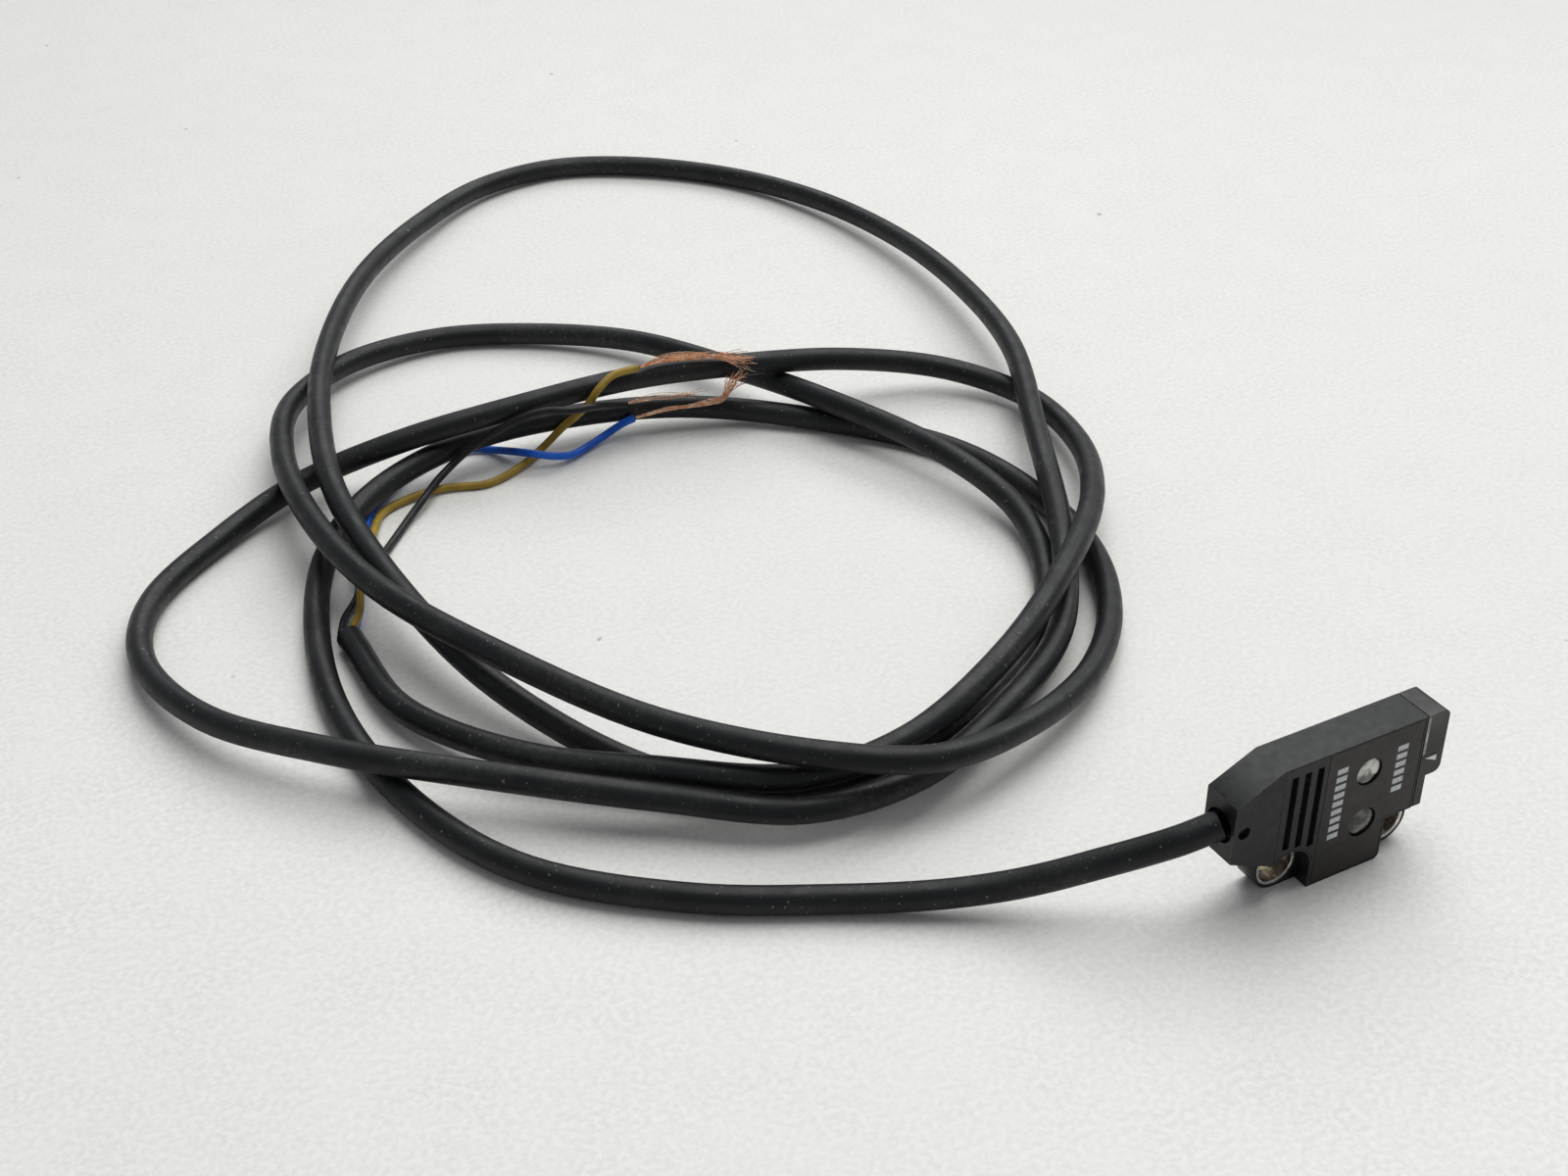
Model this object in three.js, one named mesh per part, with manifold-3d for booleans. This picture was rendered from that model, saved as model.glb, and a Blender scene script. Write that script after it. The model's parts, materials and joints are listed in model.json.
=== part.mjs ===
// Side-on photoelectric sensor with an integral three-core cable.
// Millimetres. +X runs from the cable end to the sensing end, -Y is the face, +Z is up.
import * as THREE from 'three';
import { mergeVertices } from 'three/addons/utils/BufferGeometryUtils.js';
import Module from 'manifold-3d';

const wasm = await Module();
wasm.setup();

// ---- driving dimensions ---------------------------------------------------
const LENGTH = 20.75;
const THICKNESS = 3.5;
const HEIGHT = 13;
const REAR = -LENGTH / 2;
const FACE = -THICKNESS / 2;
const GAP = 0.05;

const AXIS_HEIGHT = 8.375;
const END_BOTTOM = 5.7;
const END_TOP = 11.05;
const TAPER_TOP = 4.3;

const EAR_DEPTH = 1.4;
const EAR_RADIUS = 2.2;
const EAR_HEIGHT = 2.2;
const REAR_EAR = 6.1;
const EAR_PITCH = 11.05;
const FRONT_EAR = REAR_EAR + EAR_PITCH;
const SLEEVE_BORE = 3.2;
const SLEEVE_OUTER = 3.8;

const BODY_END = 18.4;
const RECESS_LEFT = 8.3;
const RECESS_RIGHT = 15.65;
const RECESS_TOP = 4;
const CORNER_RADIUS = 0.6;

const RIM = 0.15;
const WALL = 0.8;
const COVER = 0.45;
const LEDGE = 0.5;
const FLOOR_DEPTH = 3;
const CAVITY_START = 1.65;
const PANEL_START = 4.5;
const PANEL_END = 8.7;
const PANEL_DEPTH = 0.85;

const CABLE = 2.4;
const BORE = 2.9;
const CORE = 0.8;
const COPPER = 0.6;
const BOARD_DEPTH = 1.5;
const BOARD_THICKNESS = 0.5;

const WINDOWS = [
  { name: 'operation', station: 13.1, height: 9.6, radius: 1.2 },
  { name: 'stability', station: 13.2, height: 4.6, radius: 1.3 },
];
const EMITTER_HEIGHT = 10.9;
const RECEIVER_HEIGHT = 7.85;

// ---- materials ------------------------------------------------------------
const material = (color, roughness, metalness = 0) =>
  new THREE.MeshStandardMaterial({ color, roughness, metalness });
const housingBlack = material(0x17191a, 0.5);
const smoked = material(0x2a241f, 0.2);
const lensBlack = material(0x191c22, 0.15);
const steel = material(0xb9b6a8, 0.3, 1);
const boardGreen = material(0x1f5a3a, 0.5);
const chipBlack = material(0x111214, 0.5);
const ceramic = material(0xb79c74, 0.6);
const solder = material(0xc4c7cb, 0.35, 1);
const windowClear = material(0xd8d2c0, 0.3);
const cableGrey = material(0x1d2022, 0.6);
const coreBrown = material(0xa88a3a, 0.5);
const coreBlue = material(0x2747a8, 0.5);
const coreBlack = material(0x16171a, 0.5);
const copper = material(0xb5713c, 0.35, 1);

const group = new THREE.Group();
group.name = 'photoelectric_sensor';

function add(name, geometry, meshMaterial) {
  const mesh = new THREE.Mesh(geometry, meshMaterial);
  mesh.name = name;
  group.add(mesh);
}

// ---- solids ---------------------------------------------------------------
function toManifold(geometry) {
  const bare = geometry.clone();
  bare.deleteAttribute('normal');
  bare.deleteAttribute('uv');
  const merged = mergeVertices(bare, 1e-5);
  return new wasm.Manifold(new wasm.Mesh({
    numProp: 3,
    vertProperties: new Float32Array(merged.attributes.position.array),
    triVerts: new Uint32Array(merged.index.array),
  }));
}

function fromManifold(solid) {
  const mesh = solid.getMesh();
  const geometry = new THREE.BufferGeometry();
  geometry.setAttribute('position', new THREE.BufferAttribute(mesh.vertProperties, 3));
  geometry.setIndex(new THREE.BufferAttribute(mesh.triVerts, 1));
  const flat = geometry.toNonIndexed();
  flat.computeVertexNormals();
  return flat;
}

function combine(base, { plus = [], minus = [], within = [] }) {
  let solid = toManifold(base);
  for (const piece of plus) {
    solid = solid.add(toManifold(piece));
  }
  for (const piece of within) {
    solid = solid.intersect(toManifold(piece));
  }
  for (const piece of minus) {
    solid = solid.subtract(toManifold(piece));
  }
  return fromManifold(solid);
}

// An outline drawn on the face in [station, height], given thickness between two depths.
function plate(outline, near, far) {
  const shape = new THREE.Shape(outline.map(([s, z]) => new THREE.Vector2(REAR + s, z)));
  const geometry = new THREE.ExtrudeGeometry(shape, {
    depth: far - near,
    bevelEnabled: false,
    curveSegments: 1,
  });
  geometry.rotateX(Math.PI / 2);
  geometry.translate(0, FACE + far, 0);
  return geometry;
}

function block(s0, s1, near, far, z0, z1) {
  const geometry = new THREE.BoxGeometry(s1 - s0, far - near, z1 - z0);
  geometry.translate(REAR + (s0 + s1) / 2, FACE + (near + far) / 2, (z0 + z1) / 2);
  return geometry;
}

function discThrough(station, height, radius, near, far, sides = 32) {
  const geometry = new THREE.CylinderGeometry(radius, radius, far - near, sides);
  geometry.translate(REAR + station, FACE + (near + far) / 2, height);
  return geometry;
}

// A profile of [radius, station] turned about a line along X at the given height and depth.
function turnedAlong(profile, height, depth = THICKNESS / 2, sides = 24) {
  const geometry = new THREE.LatheGeometry(
    profile.map(([r, s]) => new THREE.Vector2(r, s)), sides);
  geometry.rotateZ(-Math.PI / 2);
  geometry.translate(REAR, FACE + depth, height);
  return geometry;
}

// A profile of [radius, depth] turned about a line across the thickness.
function turnedAcross(profile, station, height, sides = 32) {
  const geometry = new THREE.LatheGeometry(
    profile.map(([r, d]) => new THREE.Vector2(r, d)), sides);
  geometry.translate(REAR + station, FACE, height);
  return geometry;
}

const ring = (inner, outer, start, end) =>
  [[inner, start], [outer, start], [outer, end], [inner, end], [inner, start]];

function tube(points, diameter, steps, sides = 8) {
  const curve = new THREE.CatmullRomCurve3(points.map(([x, y, z]) => new THREE.Vector3(x, y, z)));
  const section = new THREE.Shape();
  for (let i = 0; i < sides; i += 1) {
    const angle = (2 * Math.PI * i) / sides;
    const x = (diameter / 2) * Math.cos(angle);
    const y = (diameter / 2) * Math.sin(angle);
    if (i === 0) {
      section.moveTo(x, y);
    } else {
      section.lineTo(x, y);
    }
  }
  return new THREE.ExtrudeGeometry(section, { steps, extrudePath: curve, bevelEnabled: false });
}

// ---- outlines, in [station, height] ---------------------------------------
function arc(cx, cz, radius, from, to, segments) {
  return Array.from({ length: segments + 1 }, (_, i) => {
    const angle = THREE.MathUtils.degToRad(from + ((to - from) * i) / segments);
    return [cx + radius * Math.cos(angle), cz + radius * Math.sin(angle)];
  });
}

// Moves every edge of a counter-clockwise outline inwards.
function inset(outline, distance) {
  return outline.map(([x, z], i) => {
    const [px, pz] = outline[(i + outline.length - 1) % outline.length];
    const [nx, nz] = outline[(i + 1) % outline.length];
    const before = new THREE.Vector2(x - px, z - pz).normalize();
    const after = new THREE.Vector2(nx - x, nz - z).normalize();
    const half = new THREE.Vector2(-before.y - after.y, before.x + after.x).normalize();
    const reach = distance / (half.x * -before.y + half.y * before.x);
    return [x + half.x * reach, z + half.y * reach];
  });
}

const TAPER_MEETS_EAR = 137.6;
const FRONT_EAR_TOP = 54;
const rearAndTop = [[BODY_END, HEIGHT], [TAPER_TOP, HEIGHT], [0, END_TOP], [0, END_BOTTOM]];

const backOutline = [
  ...rearAndTop,
  ...arc(REAR_EAR, EAR_HEIGHT, EAR_RADIUS, TAPER_MEETS_EAR, 270, 20),
  ...arc(FRONT_EAR, EAR_HEIGHT, EAR_RADIUS, -90, FRONT_EAR_TOP, 20),
];
const frontOutline = [
  ...rearAndTop,
  ...arc(REAR_EAR, EAR_HEIGHT, EAR_RADIUS, TAPER_MEETS_EAR, 0, 20),
  [RECESS_LEFT, 0],
  ...arc(RECESS_RIGHT - CORNER_RADIUS, CORNER_RADIUS, CORNER_RADIUS, -90, 0, 6),
  [RECESS_RIGHT, RECESS_TOP],
  [BODY_END, RECESS_TOP],
];
// The cavity keeps off the rear ear, so its boundary is simpler than the face's.
const cavityOutline = inset([
  ...rearAndTop,
  ...arc(REAR_EAR, EAR_HEIGHT, EAR_RADIUS, TAPER_MEETS_EAR, 0, 10),
  [RECESS_LEFT, 0],
  [RECESS_RIGHT, 0],
  [RECESS_RIGHT, RECESS_TOP],
  [BODY_END, RECESS_TOP],
], WALL);

// ---- housing --------------------------------------------------------------
const coverOpening = combine(plate(inset(frontOutline, RIM), 0, LEDGE + GAP), {
  within: [block(PANEL_START - GAP, LENGTH, -1, THICKNESS, -1, HEIGHT + 1)],
});
const cavity = combine(plate(cavityOutline, LEDGE, FLOOR_DEPTH), {
  within: [block(CAVITY_START, LENGTH, -1, THICKNESS, -1, HEIGHT + 1)],
});
const openingTool = coverOpening.clone().translate(0, -GAP, 0);
const boreTool = turnedAlong([[0, -1], [BORE / 2, -1], [BORE / 2, CAVITY_START + GAP],
  [0, CAVITY_START + GAP]], AXIS_HEIGHT);
const lightPort = (height) => turnedAlong([[0, BODY_END - WALL - GAP],
  [0.9, BODY_END - WALL - GAP], [0.9, BODY_END + 1], [0, BODY_END + 1]], height);

const sleeveHole = (station) =>
  discThrough(station, EAR_HEIGHT, SLEEVE_OUTER / 2 + GAP, EAR_DEPTH, THICKNESS + 1);

add('housing_shell', combine(plate(backOutline, EAR_DEPTH, THICKNESS), {
  plus: [plate(frontOutline, 0, EAR_DEPTH + GAP)],
  minus: [
    openingTool,
    cavity,
    boreTool,
    discThrough(1, AXIS_HEIGHT, 0.575, -1, THICKNESS / 2, 20),
    sleeveHole(REAR_EAR),
    sleeveHole(FRONT_EAR),
    lightPort(EMITTER_HEIGHT),
    lightPort(RECEIVER_HEIGHT),
  ],
}), housingBlack);

// ---- panels on the face ---------------------------------------------------
const coverOutline = inset(frontOutline, RIM + GAP);
const GROOVE_DEPTH = 0.5;
const GROOVE_TOP = 12;
const grooves = [
  { start: 5.05, end: 5.8, bottom: 4.9 },
  { start: 6.3, end: 7.05, bottom: 4.7 },
  { start: 7.55, end: 8.3, bottom: 4.3 },
];

// A finger groove slopes down towards the front and ends in a steep wall.
function grooveTool({ start, end, bottom }) {
  const shape = new THREE.Shape([
    new THREE.Vector2(REAR + start, FACE - GAP),
    new THREE.Vector2(REAR + end, FACE - GAP),
    new THREE.Vector2(REAR + end - 0.1, FACE + GROOVE_DEPTH),
  ]);
  const depth = GROOVE_TOP - bottom;
  const geometry = new THREE.ExtrudeGeometry(shape, { depth, bevelEnabled: false });
  geometry.translate(0, 0, bottom);
  return geometry;
}

const panelRange = block(PANEL_START, PANEL_END, -1, THICKNESS, -1, HEIGHT + 1);
add('grip_panel', combine(plate(coverOutline, 0, COVER), {
  plus: [plate(inset(cavityOutline, GAP), COVER - GAP, PANEL_DEPTH)],
  within: [panelRange],
  minus: grooves.map(grooveTool),
}), housingBlack);

add('front_cover', combine(plate(coverOutline, 0, COVER), {
  within: [block(PANEL_END + GAP, LENGTH, -1, THICKNESS, -1, HEIGHT + 1)],
  minus: WINDOWS.map(({ station, height, radius }) =>
    discThrough(station, height, radius + GAP, -1, 1)),
}), smoked);

const FLANGE = 0.3;
const FLANGE_DEPTH = 0.3;
const PIPE_RADIUS = 0.7;
const PIPE_DEPTH = 0.85;
for (const { name, station, height, radius } of WINDOWS) {
  add(`${name}_indicator_window`, turnedAcross([
    [0, 0],
    [radius, 0],
    [radius, COVER + GAP],
    [radius + FLANGE, COVER + GAP],
    [radius + FLANGE, COVER + GAP + FLANGE_DEPTH],
    [PIPE_RADIUS, COVER + GAP + FLANGE_DEPTH],
    [PIPE_RADIUS, PIPE_DEPTH],
    [0, PIPE_DEPTH],
  ], station, height), windowClear);
}

// ---- sensing end ----------------------------------------------------------
const LENS_START = 18.5;
const LENS_BOTTOM = 6.9;
const NOSE_END = 19.3;
const NOSE_BOTTOM = RECESS_TOP + GAP;
const LENS_CORNER = 0.7;
const LENS_RADIUS = 1.15;
const LENS_POCKET = 0.55;
const SLOT = { start: 18.75, end: 19.95, bottom: 8.7, top: 9.05 };

const lensOutline = [
  [LENS_START, NOSE_BOTTOM],
  [NOSE_END, NOSE_BOTTOM],
  [NOSE_END, LENS_BOTTOM],
  ...arc(LENGTH - LENS_CORNER, LENS_BOTTOM + LENS_CORNER, LENS_CORNER, -90, 0, 6),
  ...arc(LENGTH - LENS_CORNER, HEIGHT - LENS_CORNER, LENS_CORNER, 0, 90, 6),
  [LENS_START, HEIGHT],
];
const pocket = (height) => turnedAlong([[0, LENGTH - LENS_POCKET],
  [LENS_RADIUS + GAP, LENGTH - LENS_POCKET], [LENS_RADIUS + GAP, LENGTH + 1],
  [0, LENGTH + 1]], height);

add('lens_block', combine(plate(lensOutline, 0, THICKNESS), {
  minus: [
    block(SLOT.start, SLOT.end, -1, THICKNESS + 1, SLOT.bottom, SLOT.top),
    pocket(EMITTER_HEIGHT),
    pocket(RECEIVER_HEIGHT + 0.3),
  ],
}), lensBlack);

add('light_shield', block(SLOT.start + GAP, SLOT.end - GAP, GAP, THICKNESS - GAP,
  SLOT.bottom + GAP, SLOT.top - GAP), housingBlack);

const lensProfile = [
  [0, LENGTH - LENS_POCKET + GAP],
  [LENS_RADIUS, LENGTH - LENS_POCKET + GAP],
  [LENS_RADIUS, LENGTH - 0.3],
  [LENS_RADIUS * 0.8, LENGTH - 0.16],
  [LENS_RADIUS * 0.5, LENGTH - 0.07],
  [0, LENGTH - 0.03],
];
add('emitter_lens', turnedAlong(lensProfile, EMITTER_HEIGHT), lensBlack);
add('receiver_lens', turnedAlong(lensProfile, RECEIVER_HEIGHT + 0.3), lensBlack);

// ---- mounting sleeves -----------------------------------------------------
const sleeve = ring(SLEEVE_BORE / 2, SLEEVE_OUTER / 2, EAR_DEPTH, THICKNESS);
add('rear_mounting_sleeve', turnedAcross(sleeve, REAR_EAR, EAR_HEIGHT), steel);
add('front_mounting_sleeve', turnedAcross(sleeve, FRONT_EAR, EAR_HEIGHT), steel);

// ---- circuit board and its parts ------------------------------------------
const BOARD_BACK = BOARD_DEPTH + BOARD_THICKNESS;
add('circuit_board', combine(
  plate(inset(cavityOutline, 0.2), BOARD_DEPTH, BOARD_BACK),
  { within: [block(4.9, 16.2, -1, THICKNESS, -1, HEIGHT + 1)] },
), boardGreen);

function onFront(station, height, width, tall, thick) {
  return block(station - width / 2, station + width / 2, BOARD_DEPTH - GAP - thick,
    BOARD_DEPTH - GAP, height - tall / 2, height + tall / 2);
}

function onBack(station, height, width, tall, thick) {
  return block(station - width / 2, station + width / 2, BOARD_BACK + GAP,
    BOARD_BACK + GAP + thick, height - tall / 2, height + tall / 2);
}

add('sensor_ic', onBack(11.2, 6.6, 3, 3, 0.8), chipBlack);
add('output_transistor', onBack(8.2, 10.4, 2, 1.3, 0.8), chipBlack);
add('surge_diode', onBack(8.2, 7.6, 2, 1.3, 0.8), chipBlack);
add('operation_led', onFront(13.1, 9.6, 1, 0.6, 0.5), windowClear);
add('stability_led', onFront(13.2, 4.6, 1, 0.6, 0.5), windowClear);
[[9.6, 10.6], [9.6, 8.9], [10.4, 2.1]].forEach(([station, height], i) =>
  add(`chip_capacitor_${i + 1}`, onFront(station, height, 1, 0.5, 0.5), ceramic));
[[15.2, 11], [15.2, 7.6], [10.9, 6.4], [13.4, 2.1]].forEach(([station, height], i) =>
  add(`chip_resistor_${i + 1}`, onFront(station, height, 1, 0.5, 0.35), chipBlack));

// The two optical parts stand at the board's front edge and look along +X.
function opticalPart(height, width) {
  const start = 16.3;
  const end = 17.15;
  const centre = BOARD_DEPTH + BOARD_THICKNESS / 2;
  const dome = turnedAlong([[0, end - GAP], [0.42, end - GAP], [0.42, end + 0.1],
    [0.3, end + 0.28], [0, end + 0.36]], height, centre, 20);
  return combine(block(start, end, centre - 0.55, centre + 0.55, height - width / 2,
    height + width / 2), { plus: [dome] });
}
add('emitter_led', opticalPart(EMITTER_HEIGHT, 1.2), windowClear);
add('receiver_photodiode', opticalPart(RECEIVER_HEIGHT, 1.5), chipBlack);

// ---- cable inside the housing ---------------------------------------------
const ROOT_START = 0.6;
const ROOT_NECK = 1.7;
const ROOT_END = 3;
const NECK_RADIUS = 0.95;
add('cable_root', turnedAlong([
  [0, ROOT_START],
  [CABLE / 2, ROOT_START],
  [CABLE / 2, ROOT_NECK],
  [NECK_RADIUS, ROOT_NECK],
  [NECK_RADIUS, ROOT_END],
  [0, ROOT_END],
], AXIS_HEIGHT), cableGrey);
add('cable_bush', turnedAlong(ring(CABLE / 2 + GAP, BORE / 2 - GAP, 0.6, 1.6), AXIS_HEIGHT),
  housingBlack);
add('crimp_ring', turnedAlong(ring(NECK_RADIUS + GAP, 1.2, 1.9, 2.6), AXIS_HEIGHT), steel);

const PAD_PITCH = 1.1;
const JOINT_STATION = 5.7;
const coreEnds = [
  { name: 'brown', row: 1, paint: coreBrown },
  { name: 'blue', row: 0, paint: coreBlue },
  { name: 'black', row: -1, paint: coreBlack },
];
for (const { name, row, paint } of coreEnds) {
  const inner = AXIS_HEIGHT + row * 0.62;
  const outer = AXIS_HEIGHT + row * PAD_PITCH;
  const depth = FACE + THICKNESS / 2;
  const rise = FACE + 1.2;
  add(`core_end_${name}`, tube([
    [REAR + ROOT_END + GAP, depth, inner],
    [REAR + 3.5, depth, inner],
    [REAR + 4.3, rise, outer],
    [REAR + JOINT_STATION - 0.5, rise, outer],
  ], 0.5, 10), paint);
  add(`solder_joint_${2 - row}`, turnedAcross([
    [0, BOARD_DEPTH - GAP],
    [0.38, BOARD_DEPTH - GAP],
    [0.3, BOARD_DEPTH - 0.3],
    [0, BOARD_DEPTH - 0.5],
  ].reverse(), JOINT_STATION, outer, 16), solder);
}

// ---- free cable, in its resting loops -------------------------------------
const cableRoute = [
  [-10.35, 0, 8.4], [-13.1, 0.9, 7.4], [-15.5, 2.2, 6.3], [-18.4, 3.8, 5.1], [-21.6, 5.7, 3.7],
  [-24.4, 7.5, 2.6], [-28.8, 9.9, 1.8], [-35.7, 13.8, 1.3], [-45.5, 19.5, 1.3], [-55, 28.5, 1.3],
  [-59.5, 39, 1.3], [-61, 53.5, 1.3], [-58.5, 67.5, 1.4], [-53, 79.5, 1.9], [-45, 87, 2.5],
  [-34, 90.5, 3.1], [-23.5, 90.5, 2.9], [-11, 88, 2], [0.5, 80, 1.3], [9.5, 68, 1.3],
  [12, 56.5, 1.3], [11, 45.5, 1.3], [6, 35.5, 1.6], [-2, 27.5, 2.5], [-12, 22.5, 3.8],
  [-22.5, 20.5, 5.5], [-31, 24, 6.7], [-40.5, 34.5, 6.6], [-48, 50, 6.4], [-53, 65.5, 5.9],
  [-54, 80, 5.4], [-52, 94.5, 4.6], [-47, 106.5, 3.2], [-37.5, 114.5, 2], [-27, 116, 1.4],
  [-17.5, 112, 1.4], [-9, 104, 2], [-3.5, 92, 3], [1, 79.5, 3.9], [6.5, 64.5, 3.4],
  [8, 53.5, 2.2], [4.5, 43.5, 1.4], [-3.5, 34, 1.3], [-13.5, 28.5, 1.3], [-27, 26, 1.3],
  [-35.5, 29, 1.3], [-42, 36.5, 1.5], [-48, 50.5, 2.6], [-50.5, 65, 4], [-50.5, 83, 5.5],
  [-46.5, 99, 5.8], [-39.5, 115.5, 4.7], [-29.5, 131.5, 3.5], [-18, 143.5, 2.4],
  [-6.5, 151.5, 1.6], [4, 153, 1.3], [13.5, 148.5, 1.3], [22.5, 139.5, 1.3], [28, 127, 1.8],
  [30, 111.5, 2.6], [28.5, 95.5, 3.6], [24, 78.5, 4.6], [16.5, 63, 4.3], [7, 44.5, 3.5],
  [-1.5, 33, 3.1], [-11.5, 26.5, 2.9], [-22.5, 22.5, 2.4], [-33, 23, 2.6], [-43, 29.5, 3.2],
  [-54, 38, 3.8], [-64.5, 48, 3.7], [-71.5, 58.5, 2.7], [-73.5, 70.5, 1.8], [-70, 80, 1.3],
  [-61, 87.5, 1.4], [-51.5, 92, 2.3], [-41.5, 90.5, 5], [-29, 88.5, 6.7], [-16.5, 87.5, 7.1],
  [-4.5, 85.5, 6.5], [7, 84, 4.8], [17, 80.5, 2.7], [22, 73, 1.8], [20.5, 61.5, 2.7],
  [13.5, 49, 4.8], [3, 38.5, 6], [-9.5, 30, 5.4], [-22.5, 25, 4.4], [-32.5, 25.5, 4],
  [-42, 32.5, 3.6], [-50, 40.5, 2.7], [-56, 52.5, 1.8], [-56, 66, 1.2],
];
add('cable_jacket', tube(cableRoute, CABLE, 130), cableGrey);

const cores = [
  {
    name: 'brown',
    paint: coreBrown,
    route: [
      [-55.6, 66.3, 1.6], [-54.2, 68, 2.2], [-53, 70.7, 2.8], [-50.8, 75.6, 2.3],
      [-47.5, 82.3, 0.9], [-45.2, 85.8, 0.5], [-41.5, 87.1, 0.5], [-38, 87.1, 0.5],
      [-34, 86, 0.4], [-29.7, 87.4, 0.5], [-26.4, 89.3, 0.8], [-24.3, 88.9, 2.7],
      [-23, 87.7, 4.5], [-22.3, 86.2, 6.4], [-21.4, 85.9, 7.8], [-19.3, 86.6, 8.6],
      [-16.6, 86.4, 8.8],
    ],
    ends: [
      [-16.3, 86.4, 8.8], [-14.5, 86.7, 8.8], [-11.8, 86.3, 8.7], [-9.2, 85.6, 8.5],
      [-6.9, 84.7, 8.1], [-4.7, 83.7, 7.4],
    ],
  },
  {
    name: 'blue',
    paint: coreBlue,
    route: [
      [-56, 66.3, 0.7], [-54.6, 68.3, 0.5], [-53, 72, 0.5], [-49.4, 80.6, 0.5], [-45.8, 87, 0.5],
      [-41, 91, 0.5], [-37.5, 92.7, 0.5], [-32.7, 93, 0.5], [-30.7, 91.6, 0.5],
      [-29.4, 89.3, 1.1], [-28.3, 87.2, 1.6], [-26.4, 86.4, 1.2], [-24.5, 86.6, 0.7],
      [-22, 87.7, 0.5], [-19.6, 88.5, 0.8], [-17.9, 88.2, 1.7], [-16.7, 87.7, 2.3],
    ],
    ends: [
      [-16.5, 87.6, 2.4], [-15.4, 86.9, 2.8], [-13.6, 86.6, 3], [-11, 86, 3], [-9.4, 85.4, 3.2],
      [-7.9, 84.9, 3.5], [-7.3, 84.3, 4.8], [-6.8, 83.9, 5.9], [-6.1, 83.4, 6.6],
    ],
  },
  {
    name: 'black',
    paint: coreBlack,
    route: [
      [-56.6, 66.3, 1.5], [-55.4, 68.6, 1.5], [-53.5, 70.8, 1.6], [-51.7, 73.7, 1.5],
      [-49.7, 76.3, 1.1], [-47.1, 79.5, 0.5], [-43.3, 83.4, 0.7], [-41.2, 85, 1.3],
      [-38.9, 87.2, 1.5], [-37, 88.2, 2.1], [-35.4, 88.3, 3.1], [-33.8, 88.3, 3.9],
      [-31.4, 87.3, 5.5], [-29.4, 86.7, 6.4], [-27.1, 85.9, 6.9], [-25, 84.8, 6.9],
      [-23, 84.6, 6.8], [-20.3, 86.2, 5.5], [-17.5, 88, 4],
    ],
    ends: [
      [-17.2, 88.1, 4], [-15, 88, 4], [-13.1, 87.6, 3.9], [-11.1, 87, 3.9], [-9.3, 86.4, 3.9],
    ],
  },
];
for (const { name, paint, route, ends } of cores) {
  add(`core_${name}`, tube(route, CORE, 48), paint);
  add(`copper_${name}`, tube(ends, COPPER, 12), copper);
}

export default group;
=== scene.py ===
"""The look of a thin side-on photoelectric sensor on its cable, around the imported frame.

Lengths are in millimetres and become metres through MM, unless a comment says metres.
+X runs from the cable end to the sensing end, -Y is the face, +Z is up.
On the head, a station is a distance from its rear end along +X, a depth is a distance
from the face along +Y, and a height is a distance above the table.
"""

import json
import math
import random

import bmesh
import bpy
from mathutils import Matrix, Vector


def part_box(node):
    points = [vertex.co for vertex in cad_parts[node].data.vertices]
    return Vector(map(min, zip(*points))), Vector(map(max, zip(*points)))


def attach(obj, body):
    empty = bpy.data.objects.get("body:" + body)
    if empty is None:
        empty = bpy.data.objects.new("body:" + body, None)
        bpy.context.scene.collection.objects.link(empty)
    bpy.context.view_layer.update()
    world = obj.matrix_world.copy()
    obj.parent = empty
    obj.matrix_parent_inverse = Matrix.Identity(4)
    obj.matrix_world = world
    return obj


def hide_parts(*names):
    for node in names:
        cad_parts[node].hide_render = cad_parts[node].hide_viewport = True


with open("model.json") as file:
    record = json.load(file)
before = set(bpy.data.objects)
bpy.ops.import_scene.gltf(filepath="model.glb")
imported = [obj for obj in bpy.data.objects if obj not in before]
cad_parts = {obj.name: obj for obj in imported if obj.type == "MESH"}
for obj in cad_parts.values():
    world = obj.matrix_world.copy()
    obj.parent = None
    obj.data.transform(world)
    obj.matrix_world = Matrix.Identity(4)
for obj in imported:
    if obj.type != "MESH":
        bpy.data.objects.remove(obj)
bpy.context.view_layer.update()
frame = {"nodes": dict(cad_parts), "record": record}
MM = 0.001
ROOT = "root"


def box_mm(node):
    """The lowest and highest corner of a CAD node."""
    low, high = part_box(node)
    return Vector(low) / MM, Vector(high) / MM


def middle_height(node):
    low, high = box_mm(node)
    return (low.z + high.z) / 2


# ---- driving dimensions, from the frame where it shows them ----------------
SHELL_LOW, SHELL_HIGH = box_mm("housing_shell")
LENS_LOW, LENS_HIGH = box_mm("lens_block")
PANEL_LOW, PANEL_HIGH = box_mm("grip_panel")
COVER_LOW, COVER_HIGH = box_mm("front_cover")
SLEEVE_LOW, SLEEVE_HIGH = box_mm("rear_mounting_sleeve")
REAR = SHELL_LOW.x
FACE = SHELL_LOW.y
THICKNESS = SHELL_HIGH.y - SHELL_LOW.y
HEIGHT = SHELL_HIGH.z
LENGTH = LENS_HIGH.x - REAR
GAP = 0.05  # between neighbouring pieces

# The rear end is upright between two heights, then slopes forward up to the top.
END_BOTTOM = 5.7
END_TOP = 11.05
TAPER_TOP = 4.3
BODY_END = 18.4

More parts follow.
